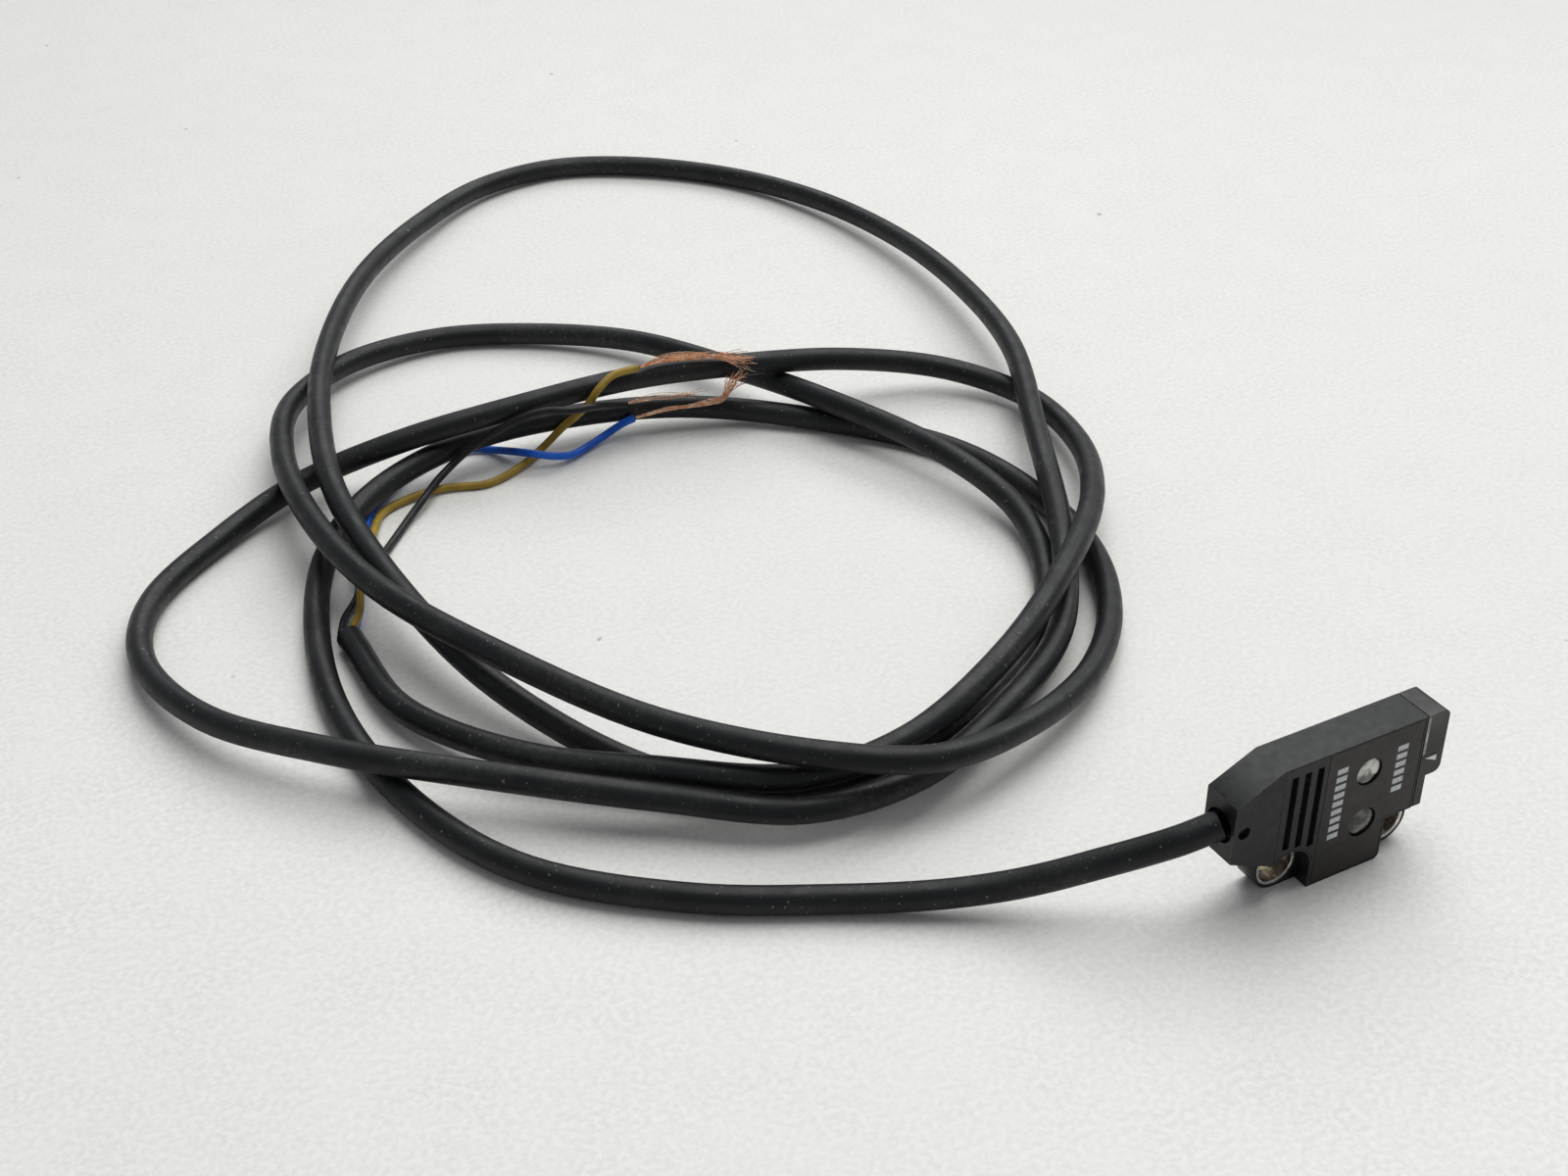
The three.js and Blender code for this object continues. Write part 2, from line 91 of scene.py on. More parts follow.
# Two round ears on the bottom edge carry the sleeves.
EAR_DEPTH = SLEEVE_LOW.y - FACE
EAR_RADIUS = 2.2
EAR_HEIGHT = (SLEEVE_LOW.z + SLEEVE_HIGH.z) / 2
REAR_EAR = (SLEEVE_LOW.x + SLEEVE_HIGH.x) / 2 - REAR
EAR_PITCH = 11.05
FRONT_EAR = REAR_EAR + EAR_PITCH
TAPER_MEETS_EAR = 137.6  # degrees round the ear
FRONT_EAR_TOP = 54  # degrees round the ear
SLEEVE_BORE = 3.2
SLEEVE_OUTER = SLEEVE_HIGH.x - SLEEVE_LOW.x

# The ears are thinner than the head, and the face is cut away round them: in an arc over
# the rear one, as far as RECESS_LEFT, and in a square corner over the front one.
RECESS_LEFT = 8.3
RECESS_RIGHT = 15.65
RECESS_TOP = 4.0
CORNER_RADIUS = 0.6

# The housing is a tray that the grip panel and the cover close.
RIM = 0.15
WALL = 0.8
COVER = COVER_HIGH.y - COVER_LOW.y
LEDGE = COVER + GAP
FLOOR_DEPTH = 3.0
CAVITY_START = 1.65
PANEL_START = PANEL_LOW.x - REAR
PANEL_END = PANEL_HIGH.x - REAR
PANEL_DEPTH = PANEL_HIGH.y - FACE

CABLE = 2.4
BORE = 2.9
CORE = 0.8
AXIS_HEIGHT = middle_height("cable_root")
EMITTER_HEIGHT = middle_height("emitter_lens")
RECEIVER_HEIGHT = middle_height("receiver_lens")


# ---- camera ----------------------------------------------------------------
CAMERA_PLACE = Vector((-104.8, -100.8, 119.1))
CAMERA_AZIMUTH = math.radians(-29.34)
CAMERA_ELEVATION = math.radians(33.62)
CAMERA_LENS = 52.5
CAMERA_SENSOR = 36
CAMERA_NEAREST = 10


def add_aimed(data, place, direction):
    """A camera or a light at a place in metres, looking in a direction."""
    item = bpy.data.objects.new(data.name, data)
    turn = direction.to_track_quat("-Z", "Y").to_matrix().to_4x4()
    item.matrix_world = Matrix.Translation(place) @ turn
    bpy.context.collection.objects.link(item)
    return item


def add_camera():
    """The photograph's point of view."""
    data = bpy.data.cameras.new("camera")
    data.lens = CAMERA_LENS
    data.sensor_width = CAMERA_SENSOR
    data.clip_start = CAMERA_NEAREST * MM
    ahead = Vector((
        -math.sin(CAMERA_AZIMUTH) * math.cos(CAMERA_ELEVATION),
        math.cos(CAMERA_AZIMUTH) * math.cos(CAMERA_ELEVATION),
        -math.sin(CAMERA_ELEVATION),
    ))
    bpy.context.scene.camera = add_aimed(data, CAMERA_PLACE * MM, ahead)


# ---- materials -------------------------------------------------------------
WORN_EDGE = 0.08
SOFT_EDGE = 0.03
FACE_SKIN = 0.2  # as deep as a mark on the face reaches


class Nodes:
    """A material's node tree, with short names for what the finishes share.

    A number or a colour can be a plain value or another node's output.
    """

    def __init__(self, name):
        self.material = bpy.data.materials.new(name)
        self.material.use_nodes = True
        self.tree = self.material.node_tree
        self.shader = self.tree.nodes["Principled BSDF"]
        coordinates = self.tree.nodes.new("ShaderNodeTexCoord")
        self.place = coordinates.outputs["Object"]

    def set(self, **values):
        """Constants on the shader; an underscore stands for a space."""
        for name, value in values.items():
            self.shader.inputs[name.replace("_", " ")].default_value = value

    def link(self, source, target):
        self.tree.links.new(source, target)

    def finish(self, colour, noise, smooth, rough):
        """A colour, and a roughness that follows a noise from smooth to rough."""
        self.link(colour, self.shader.inputs["Base Color"])
        self.link(self.spread(noise, smooth, rough), self.shader.inputs["Roughness"])

    def noise(self, scale_per_mm, detail=3, roughness=0.5):
        node = self.tree.nodes.new("ShaderNodeTexNoise")
        node.inputs["Scale"].default_value = scale_per_mm / MM
        node.inputs["Detail"].default_value = detail
        node.inputs["Roughness"].default_value = roughness
        self.link(self.place, node.inputs["Vector"])
        return node.outputs["Fac"]

    def spread(self, factor, low, high, start=0.35, end=0.65):
        """A factor from start to end becomes a number from low to high."""
        node = self.tree.nodes.new("ShaderNodeMapRange")
        node.inputs["From Min"].default_value = start
        node.inputs["From Max"].default_value = end
        node.inputs["To Min"].default_value = low
        node.inputs["To Max"].default_value = high
        self.link(factor, node.inputs["Value"])
        return node.outputs["Result"]

    def mix(self, factor, first, second):
        """A colour between first and second."""
        node = self.tree.nodes.new("ShaderNodeMix")
        node.data_type = "RGBA"
        self.link(factor, node.inputs["Factor"])
        for socket, value in ((node.inputs[6], first), (node.inputs[7], second)):
            if isinstance(value, bpy.types.NodeSocket):
                self.link(value, socket)
            else:
                socket.default_value = (*value, 1)
        return node.outputs[2]

    def cloudy(self, scale_per_mm, dark, light):
        """A colour that drifts between dark and light."""
        return self.mix(self.spread(self.noise(scale_per_mm, 4), 0, 1), dark, light)

    def math(self, operation, first, second=None):
        """One operation on numbers; a sum or a difference stays between 0 and 1."""
        node = self.tree.nodes.new("ShaderNodeMath")
        node.operation = operation
        node.use_clamp = operation in ("ADD", "SUBTRACT")
        for socket, value in zip(node.inputs, (first, second)):
            if isinstance(value, bpy.types.NodeSocket):
                self.link(value, socket)
            elif value is not None:
                socket.default_value = value
        return node.outputs["Value"]

    def times(self, first, *others):
        """The product of some numbers."""
        for other in others:
            first = self.math("MULTIPLY", first, other)
        return first

    def axes(self):
        """Where the surface is in x, y and z, in metres."""
        node = self.tree.nodes.new("ShaderNodeSeparateXYZ")
        self.link(self.place, node.inputs[0])
        return node.outputs

    def band(self, value, low, high, soft=SOFT_EDGE):
        """1 where a distance in metres is between low and high, and 0 outside."""
        rising = self.spread(value, 0, 1, (low - soft) * MM, (low + soft) * MM)
        falling = self.spread(value, 1, 0, (high - soft) * MM, (high + soft) * MM)
        return self.times(rising, falling)

    def patch(self, start, end, bottom, top, soft=SOFT_EDGE):
        """1 between two stations and two heights; soft blurs its top and bottom."""
        x, _, z = self.axes()
        return self.times(self.band(x, REAR + start, REAR + end),
                          self.band(z, bottom, top, soft))

    def near_face(self):
        """1 on the face, and 0 further back."""
        return self.band(self.axes()[1], FACE - 1, FACE + FACE_SKIN)

    def from_axis(self, station, height):
        """The distance from a line through the thickness, in metres."""
        flat = self.tree.nodes.new("ShaderNodeVectorMath")
        flat.operation = "MULTIPLY"
        flat.inputs[1].default_value = (1, 0, 1)
        self.link(self.place, flat.inputs[0])
        apart = self.tree.nodes.new("ShaderNodeVectorMath")
        apart.operation = "DISTANCE"
        apart.inputs[1].default_value = ((REAR + station) * MM, 0, height * MM)
        self.link(flat.outputs["Vector"], apart.inputs[0])
        return apart.outputs["Value"]

    def bump(self, height, distance_mm):
        """A relief, on top of any that the material has already."""
        node = self.tree.nodes.new("ShaderNodeBump")
        node.inputs["Strength"].default_value = 1
        node.inputs["Distance"].default_value = distance_mm * MM
        self.link(height, node.inputs["Height"])
        normal = self.shader.inputs["Normal"]
        if normal.is_linked:
            self.link(normal.links[0].from_socket, node.inputs["Normal"])
        self.link(node.outputs["Normal"], normal)

    def edge_wear(self):
        """1 along convex edges, broken up by noise, and 0 elsewhere."""
        node = self.tree.nodes.new("ShaderNodeBevel")
        node.samples = 4
        node.inputs["Radius"].default_value = WORN_EDGE * MM
        geometry = self.tree.nodes.new("ShaderNodeNewGeometry")
        dot = self.tree.nodes.new("ShaderNodeVectorMath")
        dot.operation = "DOT_PRODUCT"
        self.link(node.outputs["Normal"], dot.inputs[0])
        self.link(geometry.outputs["Normal"], dot.inputs[1])
        edge = self.spread(dot.outputs["Value"], 1, 0, 0.9, 0.995)
        return self.times(edge, self.spread(self.noise(3), 0, 1, 0.4, 0.6))


def plastic(name, dark, light, roughness, grain=0.012, worn=None, marks=()):
    """Moulded plastic: a cloudy colour, a fine spark-eroded grain and marks on top."""
    n = Nodes(name)
    colour = n.cloudy(0.45, dark, light)
    if worn:
        colour = n.mix(n.edge_wear(), colour, worn)
    for mark in marks:
        mask, paint = mark(n)
        colour = n.mix(mask, colour, paint)
    n.finish(colour, n.noise(1.3, 5), roughness - 0.08, roughness + 0.1)
    n.set(IOR=1.5, Specular_IOR_Level=0.26)
    n.bump(n.noise(14, 2), grain)
    n.bump(n.noise(0.8, 2), grain * 0.8)
    return n.material


def polish(n, colour, roughness):
    """Bare metal in a colour, unevenly polished."""
    n.finish(colour, n.noise(4), roughness - 0.1, roughness + 0.15)
    n.set(Metallic=1.0)
    n.bump(n.noise(9, 2), 0.008)
    return n.material


def metal(name, dark, light, roughness=0.25):
    n = Nodes(name)
    return polish(n, n.cloudy(1.2, dark, light), roughness)


def plated(name, station):
    """Plated metal, bright on the rim and tarnished brown inside the bore, where the tarnish is
    darkened as painted shade.
    """
    n = Nodes(name)
    bright = n.cloudy(1.2, (0.5, 0.48, 0.43), (0.8, 0.79, 0.75))
    # Brown tarnish, darkened to paint the shade inside the bore.
    tarnish_and_shade = n.cloudy(1.6, (0.03, 0.024, 0.017), (0.15, 0.12, 0.085))
    wall = SLEEVE_BORE / 2
    inside = n.spread(n.from_axis(station, EAR_HEIGHT), 1, 0,
                      (wall + 0.02) * MM, (wall + 0.06) * MM)
    return polish(n, n.mix(inside, bright, tarnish_and_shade), 0.3)


def rubber(name, dark, light):
    """Cable jacket: satin, faintly uneven, with pale dust in patches and in specks."""
    dust = (0.06, 0.06, 0.056)
    pale_dust = (0.2, 0.2, 0.17)
    n = Nodes(name)
    patches = n.times(n.spread(n.noise(0.09, 5, 0.6), 0, 1, 0.5, 0.72),
                      n.spread(n.noise(2.2), 0.1, 0.5, 0.4, 0.65))
    dusty = n.mix(patches, n.cloudy(0.12, dark, light), dust)
    specks = n.spread(n.noise(2.6, 1), 0, 0.5, 0.71, 0.76)
    n.finish(n.mix(specks, dusty, pale_dust), n.noise(0.5, 4), 0.38, 0.52)
    n.set(IOR=1.5, Specular_IOR_Level=0.28)
    n.bump(n.noise(6), 0.02)
    n.bump(n.noise(0.35, 2), 0.04)
    return n.material


def clear(name, tint_and_highlight, clearness):
    """Clear moulded plastic in a colour that carries painted highlight, darker in places, with
    faint flow marks.
    """
    shade_of_tint = tuple(part * 0.12 for part in tint_and_highlight)
    n = Nodes(name)
    colour = n.mix(n.spread(n.noise(0.8, 2), 0, 1, 0.42, 0.58), shade_of_tint, tint_and_highlight)
    n.finish(colour, n.noise(3, 2), 0.1, 0.22)
    n.set(IOR=1.49, Transmission_Weight=clearness)
    n.bump(n.noise(1.6, 2), 0.12)
    return n.material


# Marks painted on the head, among them painted light: a glow and two highlights on the
# optical block. A place is two stations, then two heights. Each function gives a mask and
# the colour that shows where the mask is 1.
PRINTED_COLUMNS = [(9.7, 10.75, 4.0, 11.2), (15.75, 16.8, 6.4, 11.2)]
BAR_PITCH = 0.8
# A painted highlight runs along the seam here, fading softly at its ends.
SEAM_HIGHLIGHT = (18.55, 18.8, 9.2, 12.8)
SEAM_HIGHLIGHT_FADE = 0.2
# A painted highlight fills a wedge here.
FACET_HIGHLIGHT = (18.8, 20.1, 8.1, 8.7)
# A painted glow reaches this far down from the top and this far back from the face.
GLOW_HEIGHT = 3.2
GLOW_DEPTH = 1.2


def scuffs(n):
    """A few small pale rubbed spots."""
    return n.spread(n.noise(1.1), 0, 0.7, 0.73, 0.78), (0.08, 0.074, 0.06)


def printed_bars(n):
    """Two columns of plain white bars, where a maker would print."""
    _, _, z = n.axes()
    step = n.math("FRACT", n.math("DIVIDE", z, BAR_PITCH * MM))
    stripes = n.times(n.spread(step, 0, 1, 0.16, 0.22), n.spread(step, 1, 0, 0.8, 0.86))
    columns = n.math("ADD", *(n.patch(*column) for column in PRINTED_COLUMNS))
    rubbed = n.spread(n.noise(6), 0.7, 1, 0.3, 0.6)
    return n.times(columns, stripes, rubbed), (0.62, 0.64, 0.65)


def painted_glow_top(n):
    """Painted light: the optical block is lighter towards its top corner, by the face, where
    light shows through it.
    """
    _, y, z = n.axes()
    rise = n.spread(z, 0, 0.8, (HEIGHT - GLOW_HEIGHT) * MM, HEIGHT * MM)
    near = n.spread(y, 1, 0.1, FACE * MM, (FACE + GLOW_DEPTH) * MM)
    return n.times(rise, near, n.spread(n.noise(0.6), 0.4, 1)), (0.085, 0.09, 0.078)


def seam_highlight(n):
    """A painted highlight along the step beside the cover, above the slot."""
    line = n.times(n.patch(*SEAM_HIGHLIGHT, SEAM_HIGHLIGHT_FADE), n.spread(n.noise(1.4, 2), 0.45, 1))
    return n.times(line, n.near_face()), (0.5, 0.49, 0.44)


def facet_highlight(n):
    """A painted highlight: a pale wedge just under the slot, where a facet catches the light."""
    start, end, bottom, top = FACET_HIGHLIGHT
    x, _, z = n.axes()
    along = n.spread(x, 0, 1, (REAR + start) * MM, (REAR + end) * MM)
    down = n.spread(z, 1, 0, bottom * MM, top * MM)
    wedge = n.spread(n.math("SUBTRACT", along, down), 0, 1, 0.02, 0.1)
    return n.times(wedge, n.patch(*FACET_HIGHLIGHT), n.near_face()), (0.78, 0.78, 0.74)


MATERIALS = {
    "housing": plastic("housing_black", (0.005, 0.0062, 0.0068), (0.0095, 0.0112, 0.0112),
                       0.35, 0.003, worn=(0.09, 0.09, 0.08), marks=[scuffs]),
    "smoked_cover": plastic("smoked_cover", (0.011, 0.0085, 0.0075), (0.019, 0.015, 0.013),
                            0.32, 0.004, marks=[scuffs, printed_bars]),
    # The optical block's marks are painted light: a glow near its top and highlights on the seam
    # and a facet.
    "lens": plastic("optical_black", (0.012, 0.013, 0.013), (0.022, 0.023, 0.022), 0.2, 0.002,
                    marks=[painted_glow_top, seam_highlight, facet_highlight]),
    "window": clear("window_clear", (0.92, 0.9, 0.82), 0.8),
    "sleeve_metal": metal("sleeve_metal", (0.42, 0.38, 0.31), (0.75, 0.72, 0.65)),
    "board": plastic("board_green", (0.01, 0.07, 0.03), (0.02, 0.11, 0.05), 0.35),
    "chip": plastic("chip_black", (0.01, 0.01, 0.011), (0.02, 0.02, 0.022), 0.5),
    "ceramic": plastic("fired_ceramic", (0.4, 0.3, 0.18), (0.5, 0.38, 0.25), 0.5),
    "solder": metal("solder", (0.5, 0.5, 0.52), (0.75, 0.75, 0.77), 0.35),
    "cable_jacket": rubber("jacket_rubber", (0.005, 0.0055, 0.006), (0.010, 0.0112, 0.012)),
    "core_brown": plastic("core_brown", (0.25, 0.155, 0.018), (0.36, 0.24, 0.035), 0.4),
    "core_blue": plastic("core_blue", (0.008, 0.085, 0.5), (0.015, 0.14, 0.68), 0.35),
    "core_black": plastic("core_black", (0.006, 0.006, 0.007), (0.012, 0.012, 0.014), 0.4),
    "copper": metal("copper_strands", (0.8, 0.4, 0.22), (1.0, 0.72, 0.5), 0.28),
}


# ---- making pieces ---------------------------------------------------------
def finish_mesh(name, bm, slot, nodes, material=None, smooth_angle=40):
    """A bmesh in millimetres becomes a piece that rides on the root."""
    bmesh.ops.recalc_face_normals(bm, faces=bm.faces[:])
    bmesh.ops.scale(bm, vec=(MM, MM, MM), verts=bm.verts[:])
    shade(bm, math.radians(smooth_angle))
    piece = as_object(bm, name)
    piece.data.materials.append(material or MATERIALS[slot])
    level = piece.modifiers.new("flat_faces", "WEIGHTED_NORMAL")
    level.keep_sharp = True
    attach(piece, ROOT)
    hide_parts(*nodes)
    return piece


def shade(bm, limit):
    """Smooth faces, with a sharp edge wherever they turn by more than the limit."""
    bm.normal_update()
    for face in bm.faces:
        face.smooth = True
    for edge in bm.edges:
        edge.smooth = len(edge.link_faces) == 2 and edge.calc_face_angle(0) < limit


def as_object(bm, name):
    """Uses the bmesh up."""
    mesh = bpy.data.meshes.new(name)
    bm.to_mesh(mesh)
    bm.free()
    item = bpy.data.objects.new(name, mesh)
    bpy.context.collection.objects.link(item)
    return item


def arc(station, height, radius, start, end, steps):
    """Points round a centre, from one angle in degrees to another."""
    angles = [math.radians(start + (end - start) * i / steps) for i in range(steps + 1)]
    return [(station + radius * math.cos(a), height + radius * math.sin(a)) for a in angles]


def inset(outline, distance):
    """Every edge of a counter-clockwise outline moves inwards."""
    moved = []
    for i, (x, z) in enumerate(outline):
        last_x, last_z = outline[i - 1]
        next_x, next_z = outline[(i + 1) % len(outline)]
        before = Vector((x - last_x, z - last_z)).normalized()
        after = Vector((next_x - x, next_z - z)).normalized()
        half = Vector((-before.y - after.y, before.x + after.x)).normalized()
        reach = distance / (half.x * -before.y + half.y * before.x)
        moved.append((x + half.x * reach, z + half.y * reach))
    return moved


def stitch(bm, first, second):
    """Faces between two rings of vertices, either of which can be a single tip."""
    sides = max(len(first), len(second))
    for k in range(sides):
        following = (k + 1) % sides
        if len(first) == 1:
            bm.faces.new((first[0], second[following], second[k]))
        elif len(second) == 1:
            bm.faces.new((first[k], first[following], second[0]))
        else:
            bm.faces.new((first[k], first[following], second[following], second[k]))


def solid_between(near_points, far_points):
    """A closed solid with two matching ends."""
    bm = bmesh.new()
    near = [bm.verts.new(point) for point in near_points]
    far = [bm.verts.new(point) for point in far_points]
    bm.faces.new(near)
    bm.faces.new(list(reversed(far)))
    stitch(bm, near, far)
    bmesh.ops.recalc_face_normals(bm, faces=bm.faces[:])
    return bm


def prism(outline, near, far):
    """A plate: an outline of (station, height) on the face, between two depths."""
    return solid_between(*(
        [(REAR + station, FACE + depth, height) for station, height in outline]
        for depth in (near, far)
    ))


def slab(start, end, near, far, bottom, top):
    return prism([(start, bottom), (end, bottom), (end, top), (start, top)], near, far)


def circle(sides):
    """The cosine and sine of each corner of a regular ring."""
    angles = [2 * math.pi * k / sides for k in range(sides)]
    return [(math.cos(a), math.sin(a)) for a in angles]


def turned(profile, origin, axis, sides=64):
    """A (radius, distance) profile turned about an axis through origin.

    It is a ring where it starts away from the axis, and a solid of revolution otherwise.
    """
    bm = bmesh.new()
    turn = Vector((0, 0, 1)).rotation_difference(Vector(axis)).to_matrix()
    rings = []
    for radius, along in profile:
        corners = circle(sides) if radius else [(0, 0)]
        rings.append([
            bm.verts.new(Vector(origin) + turn @ Vector((radius * c, radius * s, along)))
            for c, s in corners
        ])
    for first, second in zip(rings, rings[1:]):
        stitch(bm, first, second)
    if profile[0][0]:
        stitch(bm, rings[-1], rings[0])
    bmesh.ops.recalc_face_normals(bm, faces=bm.faces[:])
    return bm


def rod(radius, start, end):
    """The profile of a plain cylinder."""
    return [(0, start), (radius, start), (radius, end), (0, end)]


def across(station, height, radius, near, far, sides=64):
    """A cylinder through the thickness, between two depths."""
    return turned(rod(radius, near, far), (REAR + station, FACE, height), (0, 1, 0), sides)


def lengthwise(height, radius, start, end):
    """A cylinder along the middle of the head, between two stations."""
    return turned(rod(radius, start, end), (REAR, FACE + THICKNESS / 2, height), (1, 0, 0))


SAME_PLACE = 0.002
FLAT_ANGLE = math.radians(0.5)
SHARP_ANGLE = math.radians(35)


def carve(base, joins=(), only=(), cuts=(), bevel=0.0, segments=3):
    """Booleans on bmeshes in millimetres, then a bevel on the sharp edges."""
    solid = as_object(base, "carving")
    tools = [(as_object(bm, "tool"), "UNION") for bm in joins]
    tools += [(as_object(bm, "tool"), "INTERSECT") for bm in only]
    tools += [(as_object(bm, "tool"), "DIFFERENCE") for bm in cuts]
    for tool, operation in tools:
        modifier = solid.modifiers.new("cut", "BOOLEAN")
        modifier.operation = operation
        modifier.solver = "EXACT"
        modifier.object = tool
    if bevel:
        weld = solid.modifiers.new("weld", "WELD")
        weld.merge_threshold = SAME_PLACE
        flat = solid.modifiers.new("flat", "DECIMATE")
        flat.decimate_type = "DISSOLVE"
        flat.angle_limit = FLAT_ANGLE
        rounding = solid.modifiers.new("rounding", "BEVEL")
        rounding.width = bevel
        rounding.segments = segments
        rounding.limit_method = "ANGLE"
        rounding.angle_limit = SHARP_ANGLE
        rounding.use_clamp_overlap = True
    result = bmesh.new()
    result.from_object(solid, bpy.context.evaluated_depsgraph_get())
    for tool, _ in tools:
        bpy.data.objects.remove(tool)
    bpy.data.objects.remove(solid)
    return result


# ---- tubes -----------------------------------------------------------------
ROUTE_STEPS = 8


def smooth_route(points, steps=ROUTE_STEPS):
    """A centripetal Catmull-Rom curve through the points, as the CAD tubes follow."""
    knots = [Vector(p) for p in points]
    padded = [2 * knots[0] - knots[1], *knots, 2 * knots[-1] - knots[-2]]
    line = []
    for a, b, c, d in zip(padded, padded[1:], padded[2:], padded[3:]):
        ab, bc, cd = ((q - p).length ** 0.5 for p, q in ((a, b), (b, c), (c, d)))
        start = ((b - a) / ab - (c - a) / (ab + bc) + (c - b) / bc) * bc
        end = ((c - b) / bc - (d - b) / (bc + cd) + (d - c) / cd) * bc
        for k in range(steps):
            t = k / steps
            line.append(b + start * t + (3 * (c - b) - 2 * start - end) * t * t
                        + (2 * (b - c) + start + end) * t ** 3)
    line.append(knots[-1])
    return line


def tube(line, radius, sides, into=None):
    """A closed tube along a line, in a bmesh of its own or in another."""
    bm = into or bmesh.new()
    last = len(line) - 1
    directions = [(line[min(i + 1, last)] - line[max(i - 1, 0)]).normalized()
                  for i in range(len(line))]
    side = directions[0].orthogonal().normalized()
    rings = []
    for spot, ahead in zip(line, directions):
        side = (side - ahead * side.dot(ahead)).normalized()
        up = ahead.cross(side)
        rings.append([bm.verts.new(spot + side * radius * c + up * radius * s)
                      for c, s in circle(sides)])
    for first, second in zip(rings, rings[1:]):
        stitch(bm, first, second)
    bm.faces.new(list(reversed(rings[0])))
    bm.faces.new(rings[-1])
    return bm


# ---- the free cable --------------------------------------------------------
CABLE_ROUTE = [
    (-10.35, 0, 8.4), (-13.1, 0.9, 7.4), (-15.5, 2.2, 6.3), (-18.4, 3.8, 5.1), (-21.6, 5.7, 3.7),
    (-24.4, 7.5, 2.6), (-28.8, 9.9, 1.8), (-35.7, 13.8, 1.3), (-45.5, 19.5, 1.3),
    (-55, 28.5, 1.3), (-59.5, 39, 1.3), (-61, 53.5, 1.3), (-58.5, 67.5, 1.4), (-53, 79.5, 1.9),
    (-45, 87, 2.5), (-34, 90.5, 3.1), (-23.5, 90.5, 2.9), (-11, 88, 2), (0.5, 80, 1.3),
    (9.5, 68, 1.3), (12, 56.5, 1.3), (11, 45.5, 1.3), (6, 35.5, 1.6), (-2, 27.5, 2.5),
    (-12, 22.5, 3.8), (-22.5, 20.5, 5.5), (-31, 24, 6.7), (-40.5, 34.5, 6.6), (-48, 50, 6.4),
    (-53, 65.5, 5.9), (-54, 80, 5.4), (-52, 94.5, 4.6), (-47, 106.5, 3.2), (-37.5, 114.5, 2),
    (-27, 116, 1.4), (-17.5, 112, 1.4), (-9, 104, 2), (-3.5, 92, 3), (1, 79.5, 3.9),
    (6.5, 64.5, 3.4), (8, 53.5, 2.2), (4.5, 43.5, 1.4), (-3.5, 34, 1.3), (-13.5, 28.5, 1.3),
    (-27, 26, 1.3), (-35.5, 29, 1.3), (-42, 36.5, 1.5), (-48, 50.5, 2.6), (-50.5, 65, 4),
    (-50.5, 83, 5.5), (-46.5, 99, 5.8), (-39.5, 115.5, 4.7), (-29.5, 131.5, 3.5),
    (-18, 143.5, 2.4), (-6.5, 151.5, 1.6), (4, 153, 1.3), (13.5, 148.5, 1.3), (22.5, 139.5, 1.3),
    (28, 127, 1.8), (30, 111.5, 2.6), (28.5, 95.5, 3.6), (24, 78.5, 4.6), (16.5, 63, 4.3),
    (7, 44.5, 3.5), (-1.5, 33, 3.1), (-11.5, 26.5, 2.9), (-22.5, 22.5, 2.4), (-33, 23, 2.6),
    (-43, 29.5, 3.2), (-54, 38, 3.8), (-64.5, 48, 3.7), (-71.5, 58.5, 2.7), (-73.5, 70.5, 1.8),
    (-70, 80, 1.3), (-61, 87.5, 1.4), (-51.5, 92, 2.3), (-41.5, 90.5, 5), (-29, 88.5, 6.7),
    (-16.5, 87.5, 7.1), (-4.5, 85.5, 6.5), (7, 84, 4.8), (17, 80.5, 2.7), (22, 73, 1.8),
    (20.5, 61.5, 2.7), (13.5, 49, 4.8), (3, 38.5, 6), (-9.5, 30, 5.4), (-22.5, 25, 4.4),
    (-32.5, 25.5, 4), (-42, 32.5, 3.6), (-50, 40.5, 2.7), (-56, 52.5, 1.8), (-56, 66, 1.2),
]


def add_cable():
    """The jacket from the head to its cut end; gives the end back."""
    line = smooth_route(CABLE_ROUTE)
    jacket = finish_mesh("cable_jacket_rubber", tube(line, CABLE / 2, sides=20),
                         "cable_jacket", ["cable_jacket"])
    return line[-1]


